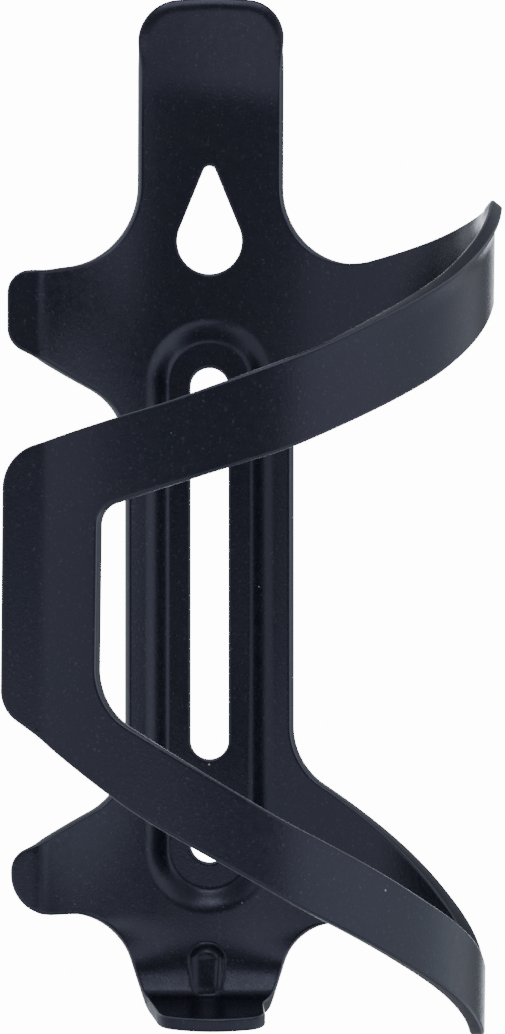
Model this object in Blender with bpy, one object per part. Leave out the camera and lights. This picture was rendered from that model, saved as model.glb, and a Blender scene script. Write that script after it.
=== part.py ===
"""Side-entry water bottle cage, pressed and rolled from one blank of aluminium sheet.

The cage is a single stamping. Its flat blank is drawn in two directions, `across` (arc
length round the bottle, to the right of the spine's centre line) and `up`. The blank is
sliced along its bend lines, given its thickness, and then formed: rolled round the bottle,
pressed back into a slotted mounting pad, leaned in at the top tab, turned forward into the
foot, and its top rims and the lips of its open side bent away from the bottle.

Frame: +Z up along the bottle, -Y towards the bottle, +Y towards the bicycle frame.
The origin is on the back face of the mounting pad, midway between the two fixing holes.
"""

import math

import bmesh
import bpy
import numpy as np
from mathutils import Vector

MM = 0.001
NAME = "water_bottle_cage"

# Sheet and the bottle it is rolled round
SHEET = 2.0 * MM
ROLLED_RADIUS = 36.75 * MM
PAD_STEP = 1.6 * MM
MID_RADIUS = ROLLED_RADIUS + SHEET / 2
MID_Y = -(PAD_STEP + SHEET / 2)

# Mounting pad: a stadium pressed back out of the spine, with two fixing slots 64 mm apart
PAD_CENTRES = 33.4 * MM
PAD_RADII = (9.4 * MM, 8.2 * MM, 7.3 * MM, 6.6 * MM, 5.8 * MM)
PAD_SKEW = 0.7                # under 1: a soft shoulder outside and a tighter fillet inside
FIXING_SPACING = 64.0 * MM
SLOT_RADIUS = 2.7 * MM
FIXING_TRAVEL = 0.75 * MM
LONG_SLOT_ENDS = (-17.95 * MM, 20.8 * MM)

# Drop-shaped lightening hole above the pad
DROP_RADIUS = 4.7 * MM
DROP_CENTRE = 53.6 * MM
DROP_TIP = 64.4 * MM
DROP_TIP_RADIUS = 0.9 * MM

# The spine leans towards the bottle at the top tab, and turns forward into the foot in two
# stages: a gentle curve and then a tight bend. Spans are heights up the blank.
TAB_LEAN = math.radians(14.0)
TAB_BEND = (69.5 * MM, 79.0 * MM)
FOOT_EASE = math.radians(24.0)
FOOT_EASE_SPAN = (-45.5 * MM, -53.5 * MM)
FOOT_TURN = math.radians(81.0)
FOOT_BEND = (-53.2 * MM, -57.8 * MM)
FLATTEN_SPAN = (-43.0 * MM, -52.0 * MM)
SPINE_HALF = 16.0 * MM
BLANK_REACH = 95.0 * MM
PROFILE_STEP = 0.02 * MM

# Stiffening rib: an arch pressed into the foot's curve, whose ridge comes forward going down
RIB_MIDDLE = -0.35 * MM
RIB_CENTRE = -49.7 * MM
RIB_HALF_WIDTH = 2.8 * MM
RIB_RISE = 1.9 * MM
RIB_SLOPE = 0.24
RIB_FILLET = 0.2 * MM

# The two lips that the bottle passes on its way in turn away from it: bend across the blank, angle
WING_LIP = (-25.0 * MM, -27.6 * MM, math.radians(42.0))
BAR_LIP = (139.4 * MM, 142.4 * MM, math.radians(-25.0))
WRAP_REACH = 160.0 * MM

# Top rims bent away from the bottle: width of the rim, width of its bend, angle
ARM_ROLL = (3.2 * MM, 2.3 * MM, math.radians(40.0))
ARM_ROLL_RISE = (38.0 * MM, 60.0 * MM)
ARM_ROLL_FALL = (61.0 * MM, 116.0 * MM)
ARM_ROLL_ABOVE = 30.0 * MM
TAB_ROLL = (1.4 * MM, 0.6 * MM, math.radians(30.0))
TAB_ROLL_RISE = (78.0 * MM, 84.0 * MM)
TAB_HALF = 13.0 * MM

# The wrapped arms drift to the left going down
ARM_DRIFT = 0.0128
DRIFT_SPAN = (14.0 * MM, 42.0 * MM)

# Fineness of the facets
CHORD_ERROR = 0.04 * MM
ROLL_STEP = 4.8 * MM
BEND_STEP = 1.3 * MM
RIB_STEP = 0.7 * MM
WELD = 0.03 * MM
NEAR_BEND = 8.0 * MM

# Corners of the blank, clockwise from the tab: (across, up, corner radius) in millimetres
BLANK_CORNERS = (
    (0.4, 88.45, 50.0),      # top tab, middle
    (10.65, 87.95, 5.2),     # top tab, right
    (10.5, 50.1, 11.0),      # valley between tab and upper arm
    (23.6, 50.2, 14.0),
    (60.5, 57.8, 6.0),       # peak of the upper arm
    (82.0, 46.5, 60.0),
    (104.0, 36.5, 60.0),
    (124.0, 29.2, 60.0),
    (147.0, 22.4, 6.0),      # front bar, top
    (146.85, -11.4, 5.0),    # front bar, bottom
    (127.0, -25.3, 80.0),
    (105.0, -37.7, 80.0),
    (88.4, -45.6, 80.0),
    (62.0, -57.35, 8.0),     # lowest point of the lower arm
    (13.3, -41.6, 8.5),      # valley between lower arm and foot
    (9.3, -54.4, 6.0),
    (7.7, -59.4, 5.0),
    (8.1, -67.8, 3.5),       # foot, front right
    (0.2, -70.4, 12.0),      # foot, middle of the rounded front
    (-6.9, -67.6, 4.0),      # foot, front left
    (-8.9, -56.6, 8.0),
    (-13.6, -42.4, 10.0),
    (-30.1, -42.5, 5.9),     # lower wing
    (-30.1, -34.0, 3.3),
    (-12.1, -25.2, 9.5),
    (-12.1, 29.6, 9.5),
    (-30.6, 38.7, 3.6),      # upper wing
    (-30.6, 49.1, 3.3),
    (-25.0, 49.2, 10.0),
    (-10.3, 51.3, 12.0),
    (-10.15, 87.8, 5.9),     # top tab, left
)

# Corners of the window between the two arms, the spine and the front bar
WINDOW_CORNERS = (
    (12.1, 30.5, 6.0),
    (61.5, 43.5, 9.0),
    (84.0, 33.1, 60.0),
    (108.0, 23.05, 60.0),
    (133.0, 15.2, 3.0),
    (133.0, -10.8, 9.0),
    (108.0, -25.8, 80.0),
    (86.0, -36.8, 80.0),
    (59.3, -48.3, 10.0),
    (42.0, -39.2, 60.0),
    (12.1, -21.2, 9.5),
)


def smooth(value, start, end):
    """0 before start, 1 after end, and an S-shaped rise between them; start may be the larger."""
    t = np.clip((value - start) / (end - start), 0.0, 1.0)
    return t * t * (3.0 - 2.0 * t)


# ------------------------------------------------------------------ outlines of the blank

def arc_steps(radius, sweep):
    """How many chords an arc needs to stay within the chord error."""
    widest = 2.0 * math.acos(1.0 - min(0.9, CHORD_ERROR / radius))
    return max(1, math.ceil(abs(sweep) / widest))


def arc(centre, radius, start, sweep):
    steps = arc_steps(radius, sweep)
    angles = (start + sweep * i / steps for i in range(steps + 1))
    return [centre + radius * Vector((math.cos(a), math.sin(a))) for a in angles]


def rounded_outline(corners):
    """A closed outline with an arc of the given radius at each corner."""
    places = [Vector(corner[:2]) * MM for corner in corners]
    points = []
    for i, here in enumerate(places):
        radius = corners[i][2] * MM
        back = (places[i - 1] - here).normalized()
        ahead = (places[(i + 1) % len(places)] - here).normalized()
        half = back.angle(ahead) / 2
        centre = here + (back + ahead).normalized() * radius / math.sin(half)
        spoke = here + back * radius / math.tan(half) - centre
        side = 1.0 if back.cross(ahead) < 0.0 else -1.0
        points += arc(centre, radius, math.atan2(spoke.y, spoke.x), side * (math.pi - 2 * half))
    return points


def stadium(centre_down, centre_up, radius):
    top = arc(Vector((0.0, centre_up)), radius, 0.0, math.pi)
    bottom = arc(Vector((0.0, centre_down)), radius, math.pi, math.pi)
    return top + bottom


def drop():
    """A circle drawn up to a small rounded tip."""
    tip_centre = DROP_TIP - DROP_TIP_RADIUS
    lean = math.asin((DROP_RADIUS - DROP_TIP_RADIUS) / (tip_centre - DROP_CENTRE))
    tip = arc(Vector((0.0, tip_centre)), DROP_TIP_RADIUS, lean, math.pi - 2 * lean)
    body = arc(Vector((0.0, DROP_CENTRE)), DROP_RADIUS, math.pi - lean, math.pi + 2 * lean)
    return tip + body


def inset(points, distance):
    """The clockwise outline moved inwards by a distance."""
    moved = []
    for i, here in enumerate(points):
        before = (here - points[i - 1]).normalized()
        after = (points[(i + 1) % len(points)] - here).normalized()
        mean = (before + after).normalized()
        inward = Vector((mean.y, -mean.x))
        moved.append(here + inward * distance / max(0.5, mean.dot(after)))
    return moved


# ------------------------------------------------------------------ flat blank

def filled_region(outlines):
    """A flat mesh of the space between outlines, from a filled 2D curve."""
    curve = bpy.data.curves.new("region", "CURVE")
    curve.dimensions = "2D"
    curve.fill_mode = "BOTH"
    for outline in outlines:
        spline = curve.splines.new("POLY")
        spline.points.add(len(outline) - 1)
        for point, place in zip(spline.points, outline):
            point.co = (place.x, place.y, 0.0, 1.0)
        spline.use_cyclic_u = True
    holder = bpy.data.objects.new("region", curve)
    bpy.context.scene.collection.objects.link(holder)
    evaluated = holder.evaluated_get(bpy.context.evaluated_depsgraph_get())
    mesh = bpy.data.meshes.new_from_object(evaluated)
    bpy.data.objects.remove(holder)
    return mesh


def slice_at(bm, axis, place, keep=None):
    """Cut edges into the sheet along a straight line, everywhere or where keep(face centre)."""
    faces = [f for f in bm.faces if keep is None or keep(f.calc_center_median())]
    edges = {e for f in faces for e in f.edges}
    verts = {v for f in faces for v in f.verts}
    normal = Vector((1.0, 0.0, 0.0)) if axis == "across" else Vector((0.0, 1.0, 0.0))
    bmesh.ops.bisect_plane(bm, geom=list(verts) + list(edges) + faces, dist=0.2 * WELD,
                           plane_co=normal * place, plane_no=normal)


def steps_between(start, end, step):
    count = max(1, round((end - start) / step))
    return [start + (end - start) * i / count for i in range(count + 1)]


def flat_blank(outline):
    """The cut sheet, flat, with edges along every line that it will be bent on."""
    pads = [stadium(-PAD_CENTRES, PAD_CENTRES, radius) for radius in PAD_RADII]
    rims = [outline, inset(outline, ARM_ROLL[0] / 2), inset(outline, ARM_ROLL[0])]
    fixings = [
        stadium(middle - FIXING_TRAVEL, middle + FIXING_TRAVEL, SLOT_RADIUS)
        for middle in (-FIXING_SPACING / 2, FIXING_SPACING / 2)
    ]
    long_slot = stadium(*LONG_SLOT_ENDS, SLOT_RADIUS)
    window = rounded_outline(WINDOW_CORNERS)

    bm = bmesh.new()
    regions = [
        rims[0:2],
        rims[1:3],
        [rims[2], window, drop(), pads[0]],
        pads[0:2],
        pads[1:3],
        pads[2:4],
        pads[3:5],
        [pads[4], long_slot] + fixings,
    ]
    for outlines in regions:
        bm.from_mesh(filled_region(outlines))
    bmesh.ops.remove_doubles(bm, verts=bm.verts, dist=0.2 * WELD)

    left = min(p.x for p in outline)
    right = max(p.x for p in outline)
    for place in steps_between(left, right, ROLL_STEP)[1:-1]:
        slice_at(bm, "across", place)
    for place in steps_between(*TAB_BEND, 2 * BEND_STEP):
        slice_at(bm, "up", place, lambda c: abs(c.x) < TAB_HALF and c.y > TAB_BEND[0] - NEAR_BEND)
    for place in steps_between(FOOT_BEND[1], FOOT_EASE_SPAN[0], BEND_STEP):
        slice_at(bm, "up", place, lambda c: abs(c.x) < SPINE_HALF and c.y < FOOT_EASE_SPAN[0] + NEAR_BEND)
    for place in steps_between(WING_LIP[1], WING_LIP[0], BEND_STEP):
        slice_at(bm, "across", place, lambda c: c.x < WING_LIP[0] + NEAR_BEND)
    for place in steps_between(*BAR_LIP[:2], BEND_STEP):
        slice_at(bm, "across", place, lambda c: c.x > BAR_LIP[0] - NEAR_BEND)
    ridge = (RIB_MIDDLE - RIB_HALF_WIDTH, RIB_MIDDLE + RIB_HALF_WIDTH)
    rib_top = RIB_CENTRE + RIB_HALF_WIDTH
    for place in steps_between(*ridge, RIB_STEP):
        slice_at(bm, "across", place, lambda c: abs(c.x) < NEAR_BEND and FOOT_BEND[1] < c.y < rib_top)
    bmesh.ops.remove_doubles(bm, verts=bm.verts, dist=WELD)
    bmesh.ops.dissolve_degenerate(bm, edges=bm.edges, dist=0.2 * WELD)
    return bm


def add_thickness(bm):
    """Turn the flat sheet into a plate whose middle is the plane of the blank."""
    bmesh.ops.recalc_face_normals(bm, faces=bm.faces)
    bmesh.ops.solidify(bm, geom=bm.faces, thickness=SHEET)
    low = min(v.co.z for v in bm.verts)
    bmesh.ops.translate(bm, verts=bm.verts, vec=(0.0, 0.0, -SHEET / 2 - low))
    bmesh.ops.recalc_face_normals(bm, faces=bm.faces)


# ------------------------------------------------------------------ forming

def lean_at(up):
    """How far the spine's centre line leans towards the bottle at heights up the blank."""
    tab = TAB_LEAN * smooth(up, *TAB_BEND)
    ease = FOOT_EASE * smooth(up, *FOOT_EASE_SPAN)
    turn = (FOOT_TURN - FOOT_EASE) * smooth(up, *FOOT_BEND)
    return tab - ease - turn


def follow(along, heading, place):
    """A line that starts straight ahead at 0 and takes these headings along it.

    Returns how far ahead and how far aside it is at the given places, and its heading there.
    """
    ahead = np.cumsum(np.cos(heading)) * PROFILE_STEP
    aside = np.cumsum(np.sin(heading)) * PROFILE_STEP
    ahead -= np.interp(0.0, along, ahead)
    aside -= np.interp(0.0, along, aside)
    return [np.interp(place, along, values) for values in (ahead, aside, heading)]


def side_profile(up):
    """Where the spine's centre line runs at heights up the blank: height, how far forward, lean."""
    along = np.arange(-BLANK_REACH, BLANK_REACH, PROFILE_STEP)
    return follow(along, lean_at(along), up)


def wrap(across):
    """Where the blank's middle runs round the bottle: sideways, how far forward, and heading."""
    along = np.arange(-WRAP_REACH, WRAP_REACH, PROFILE_STEP)
    heading = np.clip(along, WING_LIP[1], BAR_LIP[1]) / MID_RADIUS
    for start, end, turn in (WING_LIP, BAR_LIP):
        heading += turn * smooth(along, start, end)
    return follow(along, heading, across)


def nearest_edge(place, outline):
    """Distance from a point of the blank to its outer edge, and the way out across that edge."""
    nearest = (1.0, Vector((0.0, 1.0)))
    for i, end in enumerate(outline):
        start = outline[i - 1]
        side = end - start
        if side.length < WELD:
            continue
        t = min(1.0, max(0.0, (place - start).dot(side) / side.length_squared))
        distance = (start + side * t - place).length
        if distance < nearest[0]:
            nearest = (distance, Vector((-side.y, side.x)).normalized())
    return nearest


def edge_places(across, up, outline):
    """For the points in the rims: distance to the edge and way out. Elsewhere: far, no way out."""
    distance = np.full(len(across), BLANK_REACH)
    way_out = np.zeros((len(across), 2))
    on_tab = (np.abs(across) < TAB_HALF) & (up > TAB_ROLL_RISE[0])
    on_arm = (across > ARM_ROLL_RISE[0]) & (across < ARM_ROLL_FALL[1]) & (up > ARM_ROLL_ABOVE)
    for i in np.flatnonzero(on_tab | on_arm):
        distance[i], way_out[i] = nearest_edge(Vector((across[i], up[i])), outline)
    return distance, way_out


def rolled_rim(across, up, through, distance):
    """Shifts of the bent rims, on the tab and the upper arm: across the edge, and outward."""
    rise = smooth(across, *ARM_ROLL_RISE)
    fall = np.clip((across - ARM_ROLL_FALL[1]) / (ARM_ROLL_FALL[0] - ARM_ROLL_FALL[1]), 0.0, 1.0)
    on_arm = np.where(up > ARM_ROLL_ABOVE, rise * fall ** 2, 0.0)
    on_tab = np.where(np.abs(across) < TAB_HALF, smooth(up, *TAB_ROLL_RISE), 0.0)
    over_edge = np.zeros_like(across)
    outward = np.zeros_like(across)
    for share, (width, bend, turn) in ((on_arm, ARM_ROLL), (on_tab, TAB_ROLL)):
        full = np.maximum(1e-6, turn * share)
        run = np.clip(width - distance, 0.0, width)
        angle = full * np.minimum(1.0, run / bend)
        radius = bend / full
        straight = np.maximum(0.0, run - bend)
        over_edge += radius * np.sin(angle) + straight * np.cos(angle) - run - through * np.sin(angle)
        outward += radius * (1.0 - np.cos(angle)) + straight * np.sin(angle)
        outward -= through * (1.0 - np.cos(angle))
    return over_edge, outward


def rib(across, up, forward):
    """How far the rib stands up from the sheet, which has itself come forward by some distance."""
    reach = np.hypot(across - RIB_MIDDLE, np.maximum(0.0, up - RIB_CENTRE))
    crown = np.maximum(0.0, 1.0 - (reach / RIB_HALF_WIDTH) ** 4)
    ridge = crown * (RIB_RISE + RIB_SLOPE * np.maximum(0.0, RIB_CENTRE - up))
    proud = np.maximum(0.0, ridge - forward)
    return np.where(proud < 2 * RIB_FILLET, proud ** 2 / (4 * RIB_FILLET), proud - RIB_FILLET)


def pad_share(across, up):
    """0 outside the mounting pad's step, 1 on its flat floor."""
    beyond = np.maximum(0.0, np.abs(up) - PAD_CENTRES)
    t = (np.hypot(across, beyond) - PAD_RADII[-1]) / (PAD_RADII[0] - PAD_RADII[-1])
    return 1.0 - smooth(np.clip(t, 0.0, 1.0) ** PAD_SKEW, 0.0, 1.0)


def form(across, up, through, distance, way_out):
    """Carry points of the flat plate to their places on the finished cage.

    Across, up and through become +X, +Z and +Y, which turns a right hand into a left hand.
    """
    on_spine = np.abs(across) < SPINE_HALF
    profile = zip(side_profile(up), (up, 0.0, 0.0))
    z, forward, lean = (np.where(on_spine, bent, straight) for bent, straight in profile)
    over_edge, rolled = rolled_rim(across, up, through, distance)
    outward = through + rolled - rib(across, up, forward)
    across = across + way_out[:, 0] * over_edge
    z = z + way_out[:, 1] * over_edge * np.cos(lean)
    forward = forward + way_out[:, 1] * over_edge * np.sin(lean)

    middle_x, middle_forward, heading = wrap(across)
    x = middle_x + outward * np.sin(heading)
    depth = outward * np.cos(heading) - middle_forward
    in_pad = pad_share(across, up)
    x += (across - x) * in_pad
    depth += (through - SHEET / 2 - MID_Y - depth) * in_pad
    in_foot = np.where(on_spine, smooth(up, *FLATTEN_SPAN), 0.0)
    x += (across - x) * in_foot
    depth += (outward - depth) * in_foot
    x += ARM_DRIFT * up * smooth(across, *DRIFT_SPAN)
    y = MID_Y - forward + depth * np.cos(lean)
    return np.stack([x, y, z + depth * np.sin(lean)], axis=1)


# ------------------------------------------------------------------ material and object

def black_coating():
    material = bpy.data.materials.new("satin_black_coating")
    material.use_nodes = True
    shader = material.node_tree.nodes["Principled BSDF"]
    shader.inputs["Base Color"].default_value = (0.008, 0.009, 0.013, 1.0)
    shader.inputs["Roughness"].default_value = 0.4
    shader.inputs["Metallic"].default_value = 0.0
    return material


def make_cage(collection):
    outline = rounded_outline(BLANK_CORNERS)
    bm = flat_blank(outline)
    add_thickness(bm)
    across, up, through = np.array([vert.co[:] for vert in bm.verts]).T
    distance, way_out = edge_places(across, up, outline)
    for vert, place in zip(bm.verts, form(across, up, through, distance, way_out)):
        vert.co = place
    bmesh.ops.reverse_faces(bm, faces=bm.faces)
    mesh = bpy.data.meshes.new("cage")
    bm.to_mesh(mesh)
    bm.free()
    mesh.materials.append(black_coating())
    mesh.shade_smooth()
    mesh.set_sharp_from_angle(angle=math.radians(35.0))
    cage = bpy.data.objects.new("cage", mesh)
    collection.objects.link(cage)
    return cage


def main():
    for old in list(bpy.data.objects):
        bpy.data.objects.remove(old, do_unlink=True)
    collection = bpy.data.collections.new(NAME)
    bpy.context.scene.collection.children.link(collection)
    make_cage(collection)


main()
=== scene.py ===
"""Looks of the side-entry water bottle cage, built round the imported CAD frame.

The CAD node is one faceted solid. Here the same blank is drawn again with a fine triangle net,
its cut edges are rounded over, and it is formed to the same shape. Units are metres; +Z is up
along the bottle, -Y is towards the bottle and the camera, +X is the side that the arms wrap.
"""

import math

import bmesh
import bpy
import numpy as np
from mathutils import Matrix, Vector
from mathutils.geometry import delaunay_2d_cdt
from mathutils.kdtree import KDTree


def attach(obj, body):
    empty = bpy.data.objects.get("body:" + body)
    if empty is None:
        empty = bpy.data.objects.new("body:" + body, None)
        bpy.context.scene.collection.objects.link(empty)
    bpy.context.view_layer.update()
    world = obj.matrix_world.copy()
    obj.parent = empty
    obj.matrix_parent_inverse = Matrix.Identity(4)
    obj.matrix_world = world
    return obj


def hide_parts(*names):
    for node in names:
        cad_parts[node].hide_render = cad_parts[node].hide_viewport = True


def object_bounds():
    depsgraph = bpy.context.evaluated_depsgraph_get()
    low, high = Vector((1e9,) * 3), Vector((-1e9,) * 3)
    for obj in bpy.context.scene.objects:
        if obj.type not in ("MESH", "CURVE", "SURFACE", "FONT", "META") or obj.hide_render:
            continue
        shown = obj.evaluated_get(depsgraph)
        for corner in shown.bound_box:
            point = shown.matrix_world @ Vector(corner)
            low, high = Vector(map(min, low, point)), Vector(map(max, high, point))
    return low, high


MM = 0.001

# ------------------------------------------------------------------ sizes, as in part.py

# Sheet and the bottle it is rolled round
SHEET = 2.0 * MM
ROLLED_RADIUS = 36.75 * MM
PAD_STEP = 1.6 * MM
MID_RADIUS = ROLLED_RADIUS + SHEET / 2
MID_Y = -(PAD_STEP + SHEET / 2)

# Mounting pad: a stadium pressed back out of the spine, with two fixing slots 64 mm apart
PAD_CENTRES = 33.4 * MM
PAD_RADII = (9.4 * MM, 5.8 * MM)      # where its step starts, and where its flat floor starts
PAD_SKEW = 0.7                        # under 1: a soft shoulder outside, a tighter fillet inside
FIXING_SPACING = 64.0 * MM
SLOT_RADIUS = 2.7 * MM
FIXING_TRAVEL = 0.75 * MM
LONG_SLOT_ENDS = (-17.95 * MM, 20.8 * MM)

# Drop-shaped lightening hole above the pad
DROP_RADIUS = 4.7 * MM
DROP_CENTRE = 53.6 * MM
DROP_TIP = 64.4 * MM
DROP_TIP_RADIUS = 0.9 * MM

# The spine leans towards the bottle at the top tab, and turns forward into the foot in two
# stages: a gentle curve and then a tight bend. Spans are heights up the blank.
TAB_LEAN = math.radians(14.0)
TAB_BEND = (69.5 * MM, 79.0 * MM)
FOOT_EASE = math.radians(24.0)
FOOT_EASE_SPAN = (-45.5 * MM, -53.5 * MM)
FOOT_TURN = math.radians(81.0)
FOOT_BEND = (-53.2 * MM, -57.8 * MM)
FLATTEN_SPAN = (-43.0 * MM, -52.0 * MM)
SPINE_HALF = 16.0 * MM
BLANK_REACH = 95.0 * MM
PROFILE_STEP = 0.02 * MM

# Stiffening rib: an arch pressed into the foot's curve, whose ridge comes forward going down
RIB_MIDDLE = -0.35 * MM
RIB_CENTRE = -49.7 * MM
RIB_HALF_WIDTH = 2.8 * MM
RIB_RISE = 1.9 * MM
RIB_SLOPE = 0.24
RIB_FILLET = 0.2 * MM

# The two lips that the bottle passes on its way in turn away from it: bend across the blank, angle
WING_LIP = (-25.0 * MM, -27.6 * MM, math.radians(42.0))
BAR_LIP = (139.4 * MM, 142.4 * MM, math.radians(-25.0))
WRAP_REACH = 160.0 * MM

# Top rims bent away from the bottle: width of the rim, width of its bend, angle
ARM_ROLL = (3.2 * MM, 2.3 * MM, math.radians(40.0))
ARM_ROLL_RISE = (38.0 * MM, 60.0 * MM)
ARM_ROLL_FALL = (61.0 * MM, 116.0 * MM)
ARM_ROLL_ABOVE = 30.0 * MM
TAB_ROLL = (1.4 * MM, 0.6 * MM, math.radians(30.0))
TAB_ROLL_RISE = (78.0 * MM, 84.0 * MM)
TAB_HALF = 13.0 * MM
LEAST_TURN = 1e-6                     # an angle small enough to count as flat

# The wrapped arms drift to the left going down
ARM_DRIFT = 0.0128
DRIFT_SPAN = (14.0 * MM, 42.0 * MM)

# Corners of the blank, clockwise from the tab: (across, up, corner radius) in millimetres
BLANK_CORNERS = (
    (0.4, 88.45, 50.0),      # top tab, middle
    (10.65, 87.95, 5.2),     # top tab, right
    (10.5, 50.1, 11.0),      # valley between tab and upper arm
    (23.6, 50.2, 14.0),
    (60.5, 57.8, 6.0),       # peak of the upper arm
    (82.0, 46.5, 60.0),
    (104.0, 36.5, 60.0),
    (124.0, 29.2, 60.0),
    (147.0, 22.4, 6.0),      # front bar, top
    (146.85, -11.4, 5.0),    # front bar, bottom
    (127.0, -25.3, 80.0),
    (105.0, -37.7, 80.0),
    (88.4, -45.6, 80.0),
    (62.0, -57.35, 8.0),     # lowest point of the lower arm
    (13.3, -41.6, 8.5),      # valley between lower arm and foot
    (9.3, -54.4, 6.0),
    (7.7, -59.4, 5.0),
    (8.1, -67.8, 3.5),       # foot, front right
    (0.2, -70.4, 12.0),      # foot, middle of the rounded front
    (-6.9, -67.6, 4.0),      # foot, front left
    (-8.9, -56.6, 8.0),
    (-13.6, -42.4, 10.0),
    (-30.1, -42.5, 5.9),     # lower wing
    (-30.1, -34.0, 3.3),
    (-12.1, -25.2, 9.5),
    (-12.1, 29.6, 9.5),
    (-30.6, 38.7, 3.6),      # upper wing
    (-30.6, 49.1, 3.3),
    (-25.0, 49.2, 10.0),
    (-10.3, 51.3, 12.0),
    (-10.15, 87.8, 5.9),     # top tab, left
)

# Corners of the window between the two arms, the spine and the front bar
WINDOW_CORNERS = (
    (12.1, 30.5, 6.0),
    (61.5, 43.5, 9.0),
    (84.0, 33.1, 60.0),
    (108.0, 23.05, 60.0),
    (133.0, 15.2, 3.0),
    (133.0, -10.8, 9.0),
    (108.0, -25.8, 80.0),
    (86.0, -36.8, 80.0),
    (59.3, -48.3, 10.0),
    (42.0, -39.2, 60.0),
    (12.1, -21.2, 9.5),
)

# ------------------------------------------------------------------ fineness of the visible mesh

# Outlines
CHORD_ERROR = 0.004 * MM              # how far a chord may leave its arc
OUTLINE_STEP = 0.9 * MM               # longest straight piece
SAME_PLACE = 1e-7                     # points closer than this are one
SHARPEST_MITRE = 0.5                  # cosine that limits how far a parallel corner is pushed out

# Rounded-over cut edge: angles in degrees round its quarter circle, and a flat margin behind it
EDGE_RADIUS = 0.42 * MM
EDGE_ANGLES = (0.0, 22.0, 45.0, 68.0, 90.0)
EDGE_MARGIN = 0.14 * MM
FAR_FROM_EDGE = 9.0 * MM

# Bands of points behind the bent rims, in millimetres from the edge
BAND_DISTANCES = (0.9, 1.1, 1.3, 1.5, 1.7, 1.95, 2.25, 2.55, 2.85, 3.15, 3.5)

# Free points: coarse over the whole blank, fine at the pad, the foot and the lips
NET_STEP = 0.95 * MM
NET_CLEARANCE = 0.6                   # least distance to a point placed before, in steps
NET_ROW_SPACING = 0.866               # distance between rows, in steps
FINE_STEP = 0.35 * MM
FINE_CLEARANCE = 0.8
CLOSEST_TO_RIM = 0.33 * MM
LIP_REACH = 52.0 * MM                 # how far up and down the lips' fine points go
CDT_TOLERANCE = 1e-9


def smooth(value, start, end):
    """0 before start, 1 after end, and an S-shaped rise between them; start may be the larger."""
    t = np.clip((value - start) / (end - start), 0.0, 1.0)
    return t * t * (3.0 - 2.0 * t)


# ------------------------------------------------------------------ outlines of the blank

def arc(centre, radius, start, sweep):
    widest = 2.0 * math.acos(1.0 - min(0.9, CHORD_ERROR / radius))
    steps = max(1, math.ceil(abs(sweep) / widest))
    angles = (start + sweep * i / steps for i in range(steps + 1))
    return [centre + radius * Vector((math.cos(a), math.sin(a))) for a in angles]


def rounded_outline(corners):
    """A closed outline with an arc of the given radius at each corner."""
    places = [Vector(corner[:2]) * MM for corner in corners]
    points = []
    for i, here in enumerate(places):
        radius = corners[i][2] * MM
        back = (places[i - 1] - here).normalized()
        ahead = (places[(i + 1) % len(places)] - here).normalized()
        half = back.angle(ahead) / 2
        centre = here + (back + ahead).normalized() * radius / math.sin(half)
        spoke = here + back * radius / math.tan(half) - centre
        side = 1.0 if back.cross(ahead) < 0.0 else -1.0
        points += arc(centre, radius, math.atan2(spoke.y, spoke.x), side * (math.pi - 2 * half))
    return points


def stadium(centre_down, centre_up, radius):
    top = arc(Vector((0.0, centre_up)), radius, 0.0, math.pi)
    bottom = arc(Vector((0.0, centre_down)), radius, math.pi, math.pi)
    return top + bottom


def drop():
    """A circle drawn up to a small rounded tip."""
    tip_centre = DROP_TIP - DROP_TIP_RADIUS
    lean = math.asin((DROP_RADIUS - DROP_TIP_RADIUS) / (tip_centre - DROP_CENTRE))
    tip = arc(Vector((0.0, tip_centre)), DROP_TIP_RADIUS, lean, math.pi - 2 * lean)
    body = arc(Vector((0.0, DROP_CENTRE)), DROP_RADIUS, math.pi - lean, math.pi + 2 * lean)
    return tip + body


def with_steps(points, step):
    """The closed outline with its long straight stretches cut into short ones."""
    dense = []
    for i, here in enumerate(points):
        ahead = points[(i + 1) % len(points)]
        if (ahead - here).length < SAME_PLACE:
            continue
        count = max(1, math.ceil((ahead - here).length / step))
        dense += [here.lerp(ahead, j / count) for j in range(count)]
    return dense


def inward_ways(points):
    """At each point, the step to the right-hand side that keeps a parallel outline 1 away."""
    ways = []
    for i, here in enumerate(points):
        before = (here - points[i - 1]).normalized()
        after = (points[(i + 1) % len(points)] - here).normalized()
        mean = (before + after).normalized()
        ways.append(Vector((mean.y, -mean.x)) / max(SHARPEST_MITRE, mean.dot(after)))
    return ways


# ------------------------------------------------------------------ the flat blank as a net

class Net:
    """Points of the flat blank, and the faces between them.

    Each point knows how far the outer edge is, which way, and half the thickness there.
    """

    def __init__(self):
        self.places = []
        self.edge_distance = []
        self.way_out = []
        self.half = []
        self.faces = []
        self.rim_loops = []

    def add(self, places, ways, edge_distance, half):
        first = len(self.places)
        self.places += places
        self.way_out += ways
        self.edge_distance += [edge_distance] * len(places)
        self.half += [half] * len(places)
        return list(range(first, first + len(places)))


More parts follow.
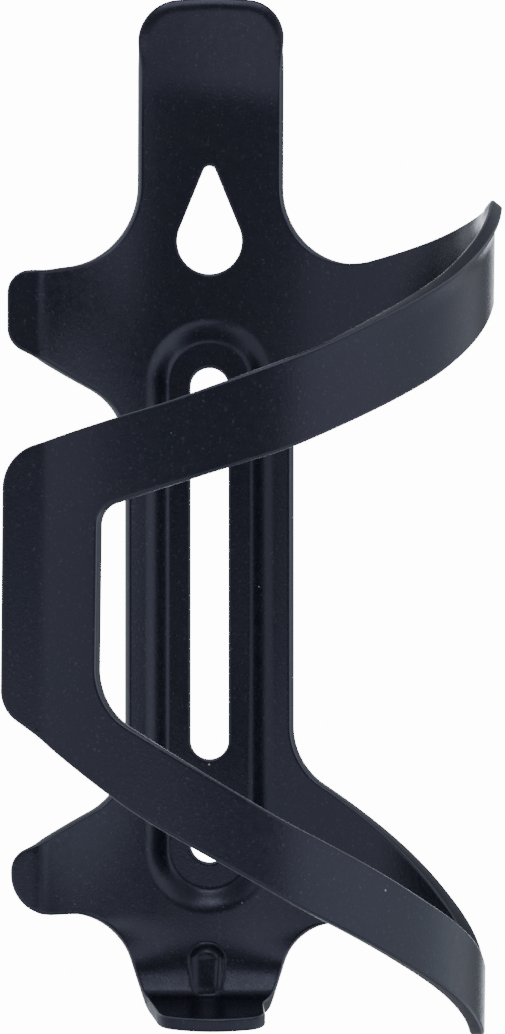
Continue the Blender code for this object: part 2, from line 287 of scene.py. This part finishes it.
def add_rim(net, outline, is_outer):
    """Quad strips that carry the rounded-over edge. Returns the innermost ring of points."""
    ways = inward_ways(outline)
    nowhere = Vector((0.0, 0.0))
    outwards = [-way.normalized() if is_outer else nowhere for way in ways]
    profile = []
    for degrees in EDGE_ANGLES:
        angle = math.radians(degrees)
        profile.append((EDGE_RADIUS * (1.0 - math.cos(angle)),
                        SHEET / 2 - EDGE_RADIUS + EDGE_RADIUS * math.sin(angle)))
    profile.append((EDGE_RADIUS + EDGE_MARGIN, SHEET / 2))
    rings = []
    for inwards, half in profile:
        ring = [place + way * inwards for place, way in zip(outline, ways)]
        rings.append(net.add(ring, outwards, inwards if is_outer else FAR_FROM_EDGE, half))
    net.rim_loops.append(rings[0])
    count = len(outline)
    for outer, inner in zip(rings, rings[1:]):
        for i in range(count):
            j = (i + 1) % count
            net.faces.append((outer[i], outer[j], inner[j], inner[i]))
    return rings[-1]


def is_rolled(place):
    """Whether the rim is bent here, and so needs points close behind it."""
    on_tab = abs(place.x) < TAB_HALF and place.y > TAB_ROLL_RISE[0]
    on_arm = ARM_ROLL_RISE[0] < place.x < ARM_ROLL_FALL[1] and place.y > ARM_ROLL_ABOVE
    return on_tab or on_arm


def ring_places(step):
    """Points that follow the pad's pressed step closely."""
    places = []
    radius = PAD_RADII[-1] - 2 * step
    while radius < PAD_RADII[0] + 2 * step:
        places += with_steps(stadium(-PAD_CENTRES, PAD_CENTRES, radius), 1.4 * step)
        radius += step
    return places


def foot_places(step):
    """Points that follow the rib and the foot's bends closely."""
    across = np.arange(-SPINE_HALF, SPINE_HALF, step)
    up = np.arange(FOOT_BEND[1] - 3 * step, FOOT_EASE_SPAN[0] + 3 * step, step)
    return [Vector((a, u)) for u in up for a in across]


def lip_places(step):
    """Points that follow the bends of the wings' and the front bar's lips closely."""
    places = []
    for start, end in (sorted(WING_LIP[:2]), sorted(BAR_LIP[:2])):
        across = np.arange(start - 2 * step, end + 3 * step, step)
        up = np.arange(-LIP_REACH, LIP_REACH, 1.5 * step)
        places += [Vector((a, u)) for u in up for a in across]
    return places


def net_places(low, high, step):
    """A net of equal-sided triangles over the whole blank."""
    rows = math.ceil((high.y - low.y) / (step * NET_ROW_SPACING))
    columns = math.ceil((high.x - low.x) / step)
    return [
        Vector((low.x + step * (column + 0.5 * (row % 2)), low.y + step * NET_ROW_SPACING * row))
        for row in range(rows) for column in range(columns)
    ]


def is_inside(places, outline):
    """For an array of places, which of them a closed outline goes round."""
    x, y = places[:, 0], places[:, 1]
    inside = np.zeros(len(places), dtype=bool)
    for here, ahead in zip(outline, outline[1:] + outline[:1]):
        if here.y == ahead.y:
            continue
        crossing = here.x + (y - here.y) * (ahead.x - here.x) / (ahead.y - here.y)
        inside ^= ((here.y > y) != (ahead.y > y)) & (x < crossing)
    return inside


def is_on_metal(places, borders):
    """For an array of places, which are inside the outer border and outside the holes."""
    inside = is_inside(places, borders[0])
    for hole in borders[1:]:
        inside &= ~is_inside(places, hole)
    return inside


def tree_of(places):
    tree = KDTree(max(1, len(places)))
    for i, place in enumerate(places):
        tree.insert(place.to_3d(), i)
    tree.balance()
    return tree


def fill_blank():
    """The whole blank as a net: rims, bands behind the bent rims, and free points between."""
    net = Net()
    outer = with_steps(rounded_outline(BLANK_CORNERS), OUTLINE_STEP)
    holes = [
        with_steps(rounded_outline(WINDOW_CORNERS), OUTLINE_STEP)[::-1],
        with_steps(drop(), OUTLINE_STEP),
        with_steps(stadium(*LONG_SLOT_ENDS, SLOT_RADIUS), OUTLINE_STEP),
    ]
    for middle in (-FIXING_SPACING / 2, FIXING_SPACING / 2):
        slot = stadium(middle - FIXING_TRAVEL, middle + FIXING_TRAVEL, SLOT_RADIUS)
        holes.append(with_steps(slot, OUTLINE_STEP))

    loops = [add_rim(net, outer, True)] + [add_rim(net, hole, False) for hole in holes]
    borders = [[net.places[i] for i in loop] for loop in loops]
    fixed = [i for loop in loops for i in loop]
    rim = tree_of([net.places[i] for i in fixed])
    members = list(fixed)

    # Bands of points just inside the bent rims, which bend along with them
    ways = inward_ways(outer)
    rolled = [i for i, place in enumerate(outer) if is_rolled(place)]
    for distance in BAND_DISTANCES:
        band = [outer[i] + ways[i] * distance * MM for i in rolled]
        members += net.add(band, [-ways[i].normalized() for i in rolled], distance * MM, SHEET / 2)

    # Free points, the finest first. None comes close to a rim or to a point placed before it,
    # and none lies within the bands.
    low = Vector((min(p.x for p in outer), min(p.y for p in outer)))
    high = Vector((max(p.x for p in outer), max(p.y for p in outer)))
    behind_bands = [place + way * BAND_DISTANCES[-1] * MM for place, way in zip(outer, ways)]
    for places, spacing in (
        (ring_places(FINE_STEP), FINE_CLEARANCE * FINE_STEP),
        (foot_places(FINE_STEP), FINE_CLEARANCE * FINE_STEP),
        (lip_places(FINE_STEP), FINE_CLEARANCE * FINE_STEP),
        (net_places(low, high, NET_STEP), NET_CLEARANCE * NET_STEP),
    ):
        array = np.array(places)
        beyond = is_inside(array, behind_bands)
        crowd = tree_of([net.places[i] for i in members])
        kept = []
        for place, on, clear in zip(places, is_on_metal(array, borders), beyond):
            if on and (clear or not is_rolled(place)) and rim.find(place.to_3d())[2] > CLOSEST_TO_RIM:
                if crowd.find(place.to_3d())[2] > spacing:
                    kept.append(place)
        members += net.add(kept, [Vector((0.0, 0.0))] * len(kept), FAR_FROM_EDGE, SHEET / 2)

    local = {index: k for k, index in enumerate(members)}
    walls = []
    for loop in loops:
        walls += [(local[a], local[b]) for a, b in zip(loop, loop[1:] + loop[:1])]
    result = delaunay_2d_cdt([net.places[i] for i in members], walls, [], 1, CDT_TOLERANCE)
    origin = [members[source[0]] for source in result[3]]
    triangles = np.array(result[2])
    centres = np.array([place[:] for place in result[0]])[triangles].mean(axis=1)
    for triangle, on in zip(triangles, is_on_metal(centres, borders)):
        if on:
            net.faces.append(tuple(origin[i] for i in triangle))
    return net


# ------------------------------------------------------------------ forming

def lean_at(up):
    """How far the spine's centre line leans towards the bottle at heights up the blank."""
    tab = TAB_LEAN * smooth(up, *TAB_BEND)
    ease = FOOT_EASE * smooth(up, *FOOT_EASE_SPAN)
    turn = (FOOT_TURN - FOOT_EASE) * smooth(up, *FOOT_BEND)
    return tab - ease - turn


def follow(along, heading, place):
    """A line that starts straight ahead at 0 and takes these headings along it.

    Returns how far ahead and how far aside it is at the given places, and its heading there.
    """
    ahead = np.cumsum(np.cos(heading)) * PROFILE_STEP
    aside = np.cumsum(np.sin(heading)) * PROFILE_STEP
    ahead -= np.interp(0.0, along, ahead)
    aside -= np.interp(0.0, along, aside)
    return [np.interp(place, along, values) for values in (ahead, aside, heading)]


def side_profile(up):
    """Where the spine's centre line runs at heights up the blank: height, how far forward, lean."""
    along = np.arange(-BLANK_REACH, BLANK_REACH, PROFILE_STEP)
    return follow(along, lean_at(along), up)


def wrap(across):
    """Where the blank's middle runs round the bottle: sideways, how far forward, and heading."""
    along = np.arange(-WRAP_REACH, WRAP_REACH, PROFILE_STEP)
    heading = np.clip(along, WING_LIP[1], BAR_LIP[1]) / MID_RADIUS
    for start, end, turn in (WING_LIP, BAR_LIP):
        heading += turn * smooth(along, start, end)
    return follow(along, heading, across)


def rolled_rim(across, up, through, distance):
    """Shifts of the bent rims, on the tab and the upper arm: across the edge, and outward."""
    rise = smooth(across, *ARM_ROLL_RISE)
    fall = np.clip((across - ARM_ROLL_FALL[1]) / (ARM_ROLL_FALL[0] - ARM_ROLL_FALL[1]), 0.0, 1.0)
    on_arm = np.where(up > ARM_ROLL_ABOVE, rise * fall ** 2, 0.0)
    on_tab = np.where(np.abs(across) < TAB_HALF, smooth(up, *TAB_ROLL_RISE), 0.0)
    over_edge = np.zeros_like(across)
    outward = np.zeros_like(across)
    for share, (width, bend, turn) in ((on_arm, ARM_ROLL), (on_tab, TAB_ROLL)):
        full = np.maximum(LEAST_TURN, turn * share)
        run = np.clip(width - distance, 0.0, width)
        angle = full * np.minimum(1.0, run / bend)
        radius = bend / full
        straight = np.maximum(0.0, run - bend)
        over_edge += radius * np.sin(angle) + straight * np.cos(angle) - run - through * np.sin(angle)
        outward += radius * (1.0 - np.cos(angle)) + straight * np.sin(angle)
        outward -= through * (1.0 - np.cos(angle))
    return over_edge, outward


def rib(across, up, forward):
    """How far the rib stands up from the sheet, which has itself come forward by some distance."""
    reach = np.hypot(across - RIB_MIDDLE, np.maximum(0.0, up - RIB_CENTRE))
    crown = np.maximum(0.0, 1.0 - (reach / RIB_HALF_WIDTH) ** 4)
    ridge = crown * (RIB_RISE + RIB_SLOPE * np.maximum(0.0, RIB_CENTRE - up))
    proud = np.maximum(0.0, ridge - forward)
    return np.where(proud < 2 * RIB_FILLET, proud ** 2 / (4 * RIB_FILLET), proud - RIB_FILLET)


def pad_share(across, up):
    """0 outside the mounting pad's step, 1 on its flat floor."""
    beyond = np.maximum(0.0, np.abs(up) - PAD_CENTRES)
    t = (np.hypot(across, beyond) - PAD_RADII[-1]) / (PAD_RADII[0] - PAD_RADII[-1])
    return 1.0 - smooth(np.clip(t, 0.0, 1.0) ** PAD_SKEW, 0.0, 1.0)


def form(across, up, through, distance, way_out):
    """Carry points of the flat plate to their places on the finished cage.

    Across, up and through become +X, +Z and +Y, which turns a right hand into a left hand.
    """
    on_spine = np.abs(across) < SPINE_HALF
    profile = zip(side_profile(up), (up, 0.0, 0.0))
    z, forward, lean = (np.where(on_spine, bent, straight) for bent, straight in profile)
    over_edge, rolled = rolled_rim(across, up, through, distance)
    outward = through + rolled - rib(across, up, forward)
    across = across + way_out[:, 0] * over_edge
    z = z + way_out[:, 1] * over_edge * np.cos(lean)
    forward = forward + way_out[:, 1] * over_edge * np.sin(lean)

    middle_x, middle_forward, heading = wrap(across)
    x = middle_x + outward * np.sin(heading)
    depth = outward * np.cos(heading) - middle_forward
    in_pad = pad_share(across, up)
    x += (across - x) * in_pad
    depth += (through - SHEET / 2 - MID_Y - depth) * in_pad
    in_foot = np.where(on_spine, smooth(up, *FLATTEN_SPAN), 0.0)
    x += (across - x) * in_foot
    depth += (outward - depth) * in_foot
    x += ARM_DRIFT * up * smooth(across, *DRIFT_SPAN)
    y = MID_Y - forward + depth * np.cos(lean)
    return np.stack([x, y, z + depth * np.sin(lean)], axis=1)


def make_cage():
    """The visible cage. Its attribute "edge" is 0 on the rolled faces and 1 amid the cut ones."""
    net = fill_blank()
    across, up = np.array(net.places).T
    distance = np.array(net.edge_distance)
    way_out = np.array(net.way_out)
    half = np.array(net.half)
    back = form(across, up, half, distance, way_out)
    front = form(across, up, -half, distance, way_out)
    count = len(net.places)
    faces = [tuple(reversed(f)) for f in net.faces] + [tuple(i + count for i in f) for f in net.faces]
    for loop in net.rim_loops:
        for a, b in zip(loop, loop[1:] + loop[:1]):
            faces.append((a, b, b + count, a + count))

    mesh = bpy.data.meshes.new("cage_sheet")
    mesh.from_pydata(np.concatenate([back, front]).tolist(), [], faces)
    rounded = np.clip((SHEET / 2 - half) / EDGE_RADIUS, 0.0, 1.0)
    edge = mesh.attributes.new("edge", "FLOAT", "POINT")
    edge.data.foreach_set("value", np.tile(rounded, 2).astype(np.float32))
    tidy_mesh(mesh)
    cage = bpy.data.objects.new("cage_sheet", mesh)
    bpy.context.scene.collection.objects.link(cage)
    return cage


def tidy_mesh(mesh):
    """Drop points that no face uses, turn all faces outwards, and shade smooth."""
    bm = bmesh.new()
    bm.from_mesh(mesh)
    loose = [v for v in bm.verts if not v.link_faces]
    bmesh.ops.delete(bm, geom=loose, context="VERTS")
    bmesh.ops.recalc_face_normals(bm, faces=bm.faces)
    bm.to_mesh(mesh)
    bm.free()
    mesh.shade_smooth()


# ------------------------------------------------------------------ material

# Colours and finish of the coat
SPECULAR_TINT = (0.78, 0.78, 1.0, 1.0)
COAT_BLUER = (0.0020, 0.0030, 0.0060, 1.0)
COAT_BROWNER = (0.0040, 0.0034, 0.0062, 1.0)
# Painted glint colour for the grain's highest points
GRAIN_GLINT_PAINT = (0.045, 0.050, 0.065, 1.0)
DUST = (0.40, 0.41, 0.44, 1.0)
# Painted highlight colour for the rounded corners of the cut edges
PAINTED_EDGE_HIGHLIGHT = (0.095, 0.100, 0.120, 1.0)
ROUGHNESS = (0.24, 0.31)              # of its smoothest and its roughest patches
CUT_FACE_ROUGHER = 0.1
SPECULAR_LEVEL = (0.5, 0.45)          # on the rolled faces, on the cut faces

# Patterns on the coat. A scale is the number of cells to the metre.
CLOUD_SCALE = 70.0
GLOSS_SCALE = 900.0
GRAIN_SCALE = 2400.0
DUST_KINDS = ((230.0, 0.030, 0.95), (420.0, 0.040, 0.955))      # scale, size in cells, rarity
BUMP_STRENGTH = 0.7
BUMP_DEPTH = 0.03 * MM

# A mix node's sockets for colours, which share their names with its sockets for numbers
MIX_COLOUR_INPUTS = (6, 7)
MIX_COLOUR_OUTPUT = 2


def black_coating():
    """Satin black coat on blasted metal: fine grain with painted glints on its peaks, faint
    cloudiness, a little dust and a painted highlight along the rounded cut edges.
    """
    material = bpy.data.materials.new("satin_black_coating")
    material.use_nodes = True
    nodes = material.node_tree.nodes
    links = material.node_tree.links
    shader = nodes["Principled BSDF"]
    shader.inputs["Metallic"].default_value = 0.0
    shader.inputs["IOR"].default_value = 1.5
    shader.inputs["Specular Tint"].default_value = SPECULAR_TINT

    place = nodes.new("ShaderNodeTexCoord").outputs["Object"]

    def noise(scale, detail, roughness=0.5):
        node = nodes.new("ShaderNodeTexNoise")
        node.inputs["Scale"].default_value = scale
        node.inputs["Detail"].default_value = detail
        node.inputs["Roughness"].default_value = roughness
        links.new(place, node.inputs["Vector"])
        return node.outputs["Fac"]

    def remap(value, from_low, from_high, to_low, to_high):
        node = nodes.new("ShaderNodeMapRange")
        node.inputs["From Min"].default_value = from_low
        node.inputs["From Max"].default_value = from_high
        node.inputs["To Min"].default_value = to_low
        node.inputs["To Max"].default_value = to_high
        links.new(value, node.inputs["Value"])
        return node.outputs["Result"]

    def combine(operation, first, second):
        node = nodes.new("ShaderNodeMath")
        node.operation = operation
        for value, socket in zip((first, second), node.inputs):
            if isinstance(value, float):
                socket.default_value = value
            else:
                links.new(value, socket)
        return node.outputs["Value"]

    def mix(factor, first, second):
        node = nodes.new("ShaderNodeMix")
        node.data_type = "RGBA"
        links.new(factor, node.inputs["Factor"])
        for value, index in zip((first, second), MIX_COLOUR_INPUTS):
            if isinstance(value, tuple):
                node.inputs[index].default_value = value
            else:
                links.new(value, node.inputs[index])
        return node.outputs[MIX_COLOUR_OUTPUT]

    # Cloudy drift of the coat's colour between a bluer and a browner black
    cloud = remap(noise(CLOUD_SCALE, 4.0), 0.35, 0.65, 0.0, 1.0)
    coat = mix(cloud, COAT_BLUER, COAT_BROWNER)

    # Grain of the blasted metal under the coat, with painted glints: its highest points are painted
    # paler, standing in for the light they catch
    grain = noise(GRAIN_SCALE, 3.0, 0.6)
    painted_grain_glints = remap(grain, 0.60, 0.74, 0.0, 0.55)
    coat = mix(painted_grain_glints, coat, GRAIN_GLINT_PAINT)

    # Dust: rare pale specks of two sizes
    for scale, size, rarity in DUST_KINDS:
        dust = nodes.new("ShaderNodeTexVoronoi")
        dust.inputs["Scale"].default_value = scale
        links.new(place, dust.inputs["Vector"])
        near = remap(dust.outputs["Distance"], size, 1.8 * size, 1.0, 0.0)
        pick = nodes.new("ShaderNodeSeparateColor")
        links.new(dust.outputs["Color"], pick.inputs["Color"])
        rare = remap(pick.outputs["Red"], rarity, rarity + 0.01, 0.0, 0.8)
        coat = mix(combine("MULTIPLY", near, rare), coat, DUST)

    # Painted highlight: the coat is painted paler along the rounded corners of the cut edges,
    # standing in for the light those edges catch
    rim = nodes.new("ShaderNodeAttribute")
    rim.attribute_name = "edge"
    towards_cut = rim.outputs["Fac"]
    painted_highlight_rise = remap(towards_cut, 0.10, 0.30, 0.0, 1.0)
    painted_highlight_fade = remap(towards_cut, 0.40, 0.70, 0.5, 0.0)
    # Mixes the painted edge highlight into the coat colour
    coat = mix(combine("MULTIPLY", painted_highlight_rise, painted_highlight_fade), coat, PAINTED_EDGE_HIGHLIGHT)
    links.new(coat, shader.inputs["Base Color"])

    # The cut faces are rougher and duller than the rolled ones
    level = remap(towards_cut, 0.7, 1.0, *SPECULAR_LEVEL)
    links.new(level, shader.inputs["Specular IOR Level"])
    cut_face = remap(towards_cut, 0.7, 1.0, 0.0, CUT_FACE_ROUGHER)
    gloss = remap(noise(GLOSS_SCALE, 4.0), 0.3, 0.7, *ROUGHNESS)
    links.new(combine("ADD", gloss, cut_face), shader.inputs["Roughness"])

    bump = nodes.new("ShaderNodeBump")
    bump.inputs["Strength"].default_value = BUMP_STRENGTH
    bump.inputs["Distance"].default_value = BUMP_DEPTH
    links.new(grain, bump.inputs["Height"])
    links.new(bump.outputs["Normal"], shader.inputs["Normal"])
    return material


# ------------------------------------------------------------------ studio and camera

# Camera: straight ahead of the cage, with a long lens
CAMERA_PLACE = (0.00616, -0.900, 0.0141)
CAMERA_TILT = math.radians(90.0)
SENSOR_HEIGHT = 36.0
LENS = 218.089
SEEN_FROM = 0.01
SEEN_TO = 20.0

# Floor: a pale square far below the cage
FLOOR_DROP = 0.190
FLOOR_REACH = 1.6
FLOOR_WHITE = 0.9
FLOOR_GLOW = 3.0
STAGE_ROUGHNESS = 0.9

# Light of the room, added to a plain level: direction it comes from, cosines where it fades in
# and is full, strength
ROOM_LEVEL = 1.45
ROOM_LOBES = (
    ((-0.95, -0.25, 0.0), 0.50, 0.97, -0.42),   # dimmer on the left
    ((0.86, 0.51, 0.0), 0.60, 0.97, -0.42),     # and on the right, towards the back
    ((0.0, -0.10, 1.0), 0.40, 0.75, -0.90),     # dimmer still above
    ((0.0, -0.72, 0.69), 0.93, 0.985, 3.2),     # but for a light over the camera
    ((0.0, 1.0, 0.0), 0.60, 0.90, -0.90),       # dimmer still behind
    ((0.0, 1.0, 0.0), 0.92, 0.99, 3.0),         # but for a bright gap
    ((0.0, 0.0, -1.0), 0.55, 0.85, -1.20),      # nearly dark below
)
ROOM_TINT = (0.86, 0.91, 1.0, 1.0)
BACKDROP_GLOW = 14.0

# Grey card that the cage mirrors, and the camera doesn't see. Its lower edge falls to the right.
CARD_DISTANCE = 0.465
CARD_SIDES = (-0.40, 0.26)
CARD_LOW = (0.032, -0.122)
CARD_TOP = 0.30
CARD_GLOW = 0.315

# Softbox low on the right, turned level to the left
SOFTBOX_PLACE = (0.36, -0.12, -0.20)
SOFTBOX_TARGET = (0.03, -0.04, -0.20)
SOFTBOX_SIZE = (0.70, 0.31)
SOFTBOX_WATTS = 0.17
SOFTBOX_TINT = (0.74, 0.96, 1.0)


def studio_world():
    """A soft room with brighter and darker sides. The camera itself sees a plain white backdrop."""
    world = bpy.data.worlds.new("studio")
    bpy.context.scene.world = world
    world.use_nodes = True
    nodes = world.node_tree.nodes
    links = world.node_tree.links
    nodes.clear()
    direction = nodes.new("ShaderNodeTexCoord").outputs["Generated"]
    total = None
    for axis, fades_in, full, strength in ROOM_LOBES:
        towards = nodes.new("ShaderNodeVectorMath")
        towards.operation = "DOT_PRODUCT"
        towards.inputs[1].default_value = Vector(axis).normalized()
        links.new(direction, towards.inputs[0])
        lobe = nodes.new("ShaderNodeMapRange")
        lobe.interpolation_type = "SMOOTHSTEP"
        lobe.inputs["From Min"].default_value = fades_in
        lobe.inputs["From Max"].default_value = full
        lobe.inputs["To Max"].default_value = strength
        links.new(towards.outputs["Value"], lobe.inputs["Value"])
        add = nodes.new("ShaderNodeMath")
        add.operation = "ADD"
        links.new(lobe.outputs["Result"], add.inputs[0])
        if total:
            links.new(total, add.inputs[1])
        else:
            add.inputs[1].default_value = ROOM_LEVEL
        total = add.outputs["Value"]
    never_negative = nodes.new("ShaderNodeMath")
    never_negative.operation = "MAXIMUM"
    never_negative.inputs[1].default_value = 0.0
    links.new(total, never_negative.inputs[0])

    lighting = nodes.new("ShaderNodeBackground")
    lighting.inputs["Color"].default_value = ROOM_TINT
    links.new(never_negative.outputs["Value"], lighting.inputs["Strength"])
    backdrop = nodes.new("ShaderNodeBackground")
    backdrop.inputs["Color"].default_value = (1.0, 1.0, 1.0, 1.0)
    backdrop.inputs["Strength"].default_value = BACKDROP_GLOW
    choose = nodes.new("ShaderNodeMixShader")
    links.new(nodes.new("ShaderNodeLightPath").outputs["Is Camera Ray"], choose.inputs["Fac"])
    links.new(lighting.outputs["Background"], choose.inputs[1])
    links.new(backdrop.outputs["Background"], choose.inputs[2])
    output = nodes.new("ShaderNodeOutputWorld")
    links.new(choose.outputs["Shader"], output.inputs["Surface"])


def studio_sheet(name, corners, white, glow):
    """A flat stage surface that casts no shadow on the cage."""
    mesh = bpy.data.meshes.new(name)
    mesh.from_pydata(corners, [], [(0, 1, 2, 3)])
    sheet = bpy.data.objects.new(name, mesh)
    bpy.context.scene.collection.objects.link(sheet)
    material = bpy.data.materials.new(name)
    material.use_nodes = True
    shader = material.node_tree.nodes["Principled BSDF"]
    shader.inputs["Base Color"].default_value = (white, white, white, 1.0)
    shader.inputs["Roughness"].default_value = STAGE_ROUGHNESS
    shader.inputs["Specular IOR Level"].default_value = 0.0
    shader.inputs["Emission Color"].default_value = ROOM_TINT
    shader.inputs["Emission Strength"].default_value = glow
    mesh.materials.append(material)
    sheet.visible_diffuse = False
    sheet.visible_shadow = False
    return sheet


def floor(height):
    """A plain pale floor, which the cage doesn't mirror."""
    ways = ((-1, -1), (1, -1), (1, 1), (-1, 1))
    corners = [(FLOOR_REACH * x, FLOOR_REACH * y, height) for x, y in ways]
    sheet = studio_sheet("studio_floor", corners, FLOOR_WHITE, FLOOR_GLOW)
    sheet.visible_glossy = False


def grey_card():
    """What the camera's side of the room looks like in the cage: dim above, open below."""
    left, right = CARD_SIDES
    low_left, low_right = CARD_LOW
    outline = ((left, low_left), (right, low_right), (right, CARD_TOP), (left, CARD_TOP))
    corners = [(x, -CARD_DISTANCE, z) for x, z in outline]
    sheet = studio_sheet("studio_card", corners, 0.0, CARD_GLOW)
    sheet.visible_camera = False


def softbox():
    """The one lamp, which brightens the right-hand side of the arms."""
    data = bpy.data.lights.new("low_right_softbox", "AREA")
    data.shape = "RECTANGLE"
    data.size, data.size_y = SOFTBOX_SIZE
    data.energy = SOFTBOX_WATTS
    data.color = SOFTBOX_TINT
    light = bpy.data.objects.new("low_right_softbox", data)
    bpy.context.scene.collection.objects.link(light)
    light.location = SOFTBOX_PLACE
    line_of_sight = Vector(SOFTBOX_TARGET) - Vector(SOFTBOX_PLACE)
    light.rotation_euler = line_of_sight.to_track_quat("-Z", "Y").to_euler()
    light.visible_camera = False


def camera():
    data = bpy.data.cameras.new("camera")
    data.sensor_fit = "VERTICAL"
    data.sensor_height = SENSOR_HEIGHT
    data.lens = LENS
    data.clip_start = SEEN_FROM
    data.clip_end = SEEN_TO
    eye = bpy.data.objects.new("camera", data)
    bpy.context.scene.collection.objects.link(eye)
    eye.location = CAMERA_PLACE
    eye.rotation_euler = (CAMERA_TILT, 0.0, 0.0)
    bpy.context.scene.camera = eye


# ------------------------------------------------------------------ the scene

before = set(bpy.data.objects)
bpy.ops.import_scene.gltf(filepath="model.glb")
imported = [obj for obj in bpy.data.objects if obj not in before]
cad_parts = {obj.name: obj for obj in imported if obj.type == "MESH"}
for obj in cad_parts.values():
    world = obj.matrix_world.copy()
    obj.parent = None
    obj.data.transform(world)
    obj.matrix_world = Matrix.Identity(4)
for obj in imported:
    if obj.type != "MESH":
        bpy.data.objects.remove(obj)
cad_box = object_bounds()

camera()
studio_world()
floor(cad_box[0][2] - FLOOR_DROP)
grey_card()
softbox()

cage = make_cage()
cage.data.materials.append(black_coating())
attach(cage, "root")
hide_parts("cage")
